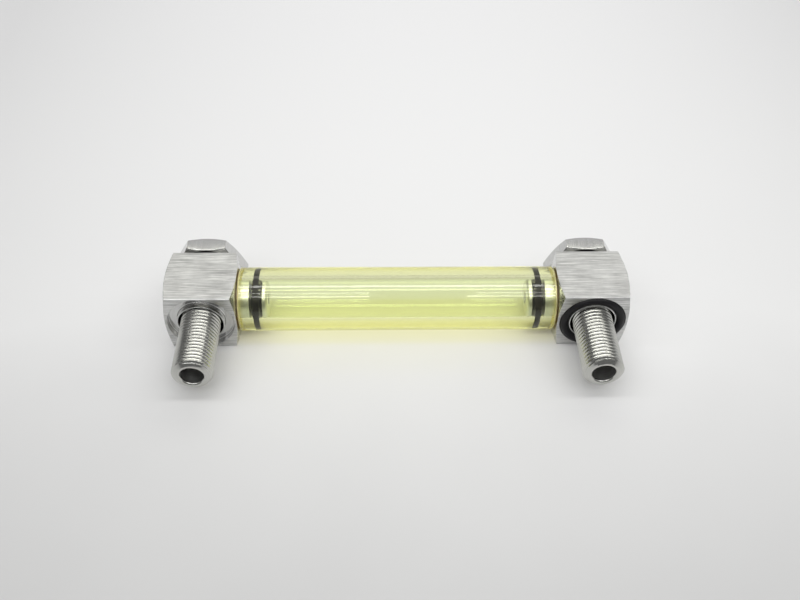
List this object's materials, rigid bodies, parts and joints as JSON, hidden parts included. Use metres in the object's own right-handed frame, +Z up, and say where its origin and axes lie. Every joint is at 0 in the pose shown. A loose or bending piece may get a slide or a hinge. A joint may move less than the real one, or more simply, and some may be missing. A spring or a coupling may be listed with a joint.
{
  "type": "tubular sight glass",
  "caption": "Fluid level sight glass: a clear tinted tube between square steel heads, held to a tank wall by hollow threaded bolts.",
  "frame": {"origin": "middle of the footprint, on the surface that the two heads lie on", "axes": "+X along the sight tube to the head whose wall seal is fitted, +Y from the thread tips to the hexagons, +Z up, square to the flats that the heads lie on"},
  "size_m": [0.1524, 0.0512, 0.022],
  "materials": {
    "clear_tube": "polished clear yellow-green polycarbonate",
    "head_steel": "brushed stainless bar, turned ends",
    "bolt_steel": "bright turned stainless",
    "seal_rubber": "black nitrile, satin"
  },
  "bodies": {
    "tube": {"sight_tube": "clear_tube"},
    "left_spigot_ring": {"left_tube_seal": "seal_rubber"},
    "left_end": {"left_head": "head_steel"},
    "left_bolt_ring": {"left_bolt_seal": "seal_rubber"},
    "left_bolt": {"left_hollow_bolt": "bolt_steel"},
    "right_spigot_ring": {"right_tube_seal": "seal_rubber"},
    "right_end": {"right_head": "head_steel", "right_wall_seal": "seal_rubber"},
    "right_bolt_ring": {"right_bolt_seal": "seal_rubber"},
    "right_bolt": {"right_hollow_bolt": "bolt_steel"}
  },
  "joints": [
    {"name": "left_head_pull", "type": "slide", "parent": "tube", "child": "left_spigot_ring", "axis": [-1, 0, 0], "range_m": [0, 0.015]},
    {"name": "left_head_swivel", "type": "hinge", "parent": "left_spigot_ring", "child": "left_end", "pos_m": [-0.046, 0.00765, 0.011], "axis": [1, 0, 0], "continuous": true},
    {"name": "left_bolt_pull", "type": "slide", "parent": "left_end", "child": "left_bolt_ring", "axis": [0, 1, 0], "range_m": [0, 0.045]},
    {"name": "left_bolt_turn", "type": "hinge", "parent": "left_bolt_ring", "child": "left_bolt", "pos_m": [-0.0635, 0.00765, 0.011], "axis": [0, 1, 0], "continuous": true},
    {"name": "right_head_pull", "type": "slide", "parent": "tube", "child": "right_spigot_ring", "axis": [1, 0, 0], "range_m": [0, 0.015]},
    {"name": "right_head_swivel", "type": "hinge", "parent": "right_spigot_ring", "child": "right_end", "pos_m": [0.046, 0.00765, 0.011], "axis": [1, 0, 0], "continuous": true},
    {"name": "right_bolt_pull", "type": "slide", "parent": "right_end", "child": "right_bolt_ring", "axis": [0, 1, 0], "range_m": [0, 0.045]},
    {"name": "right_bolt_turn", "type": "hinge", "parent": "right_bolt_ring", "child": "right_bolt", "pos_m": [0.0635, 0.00765, 0.011], "axis": [0, 1, 0], "continuous": true}
  ]
}
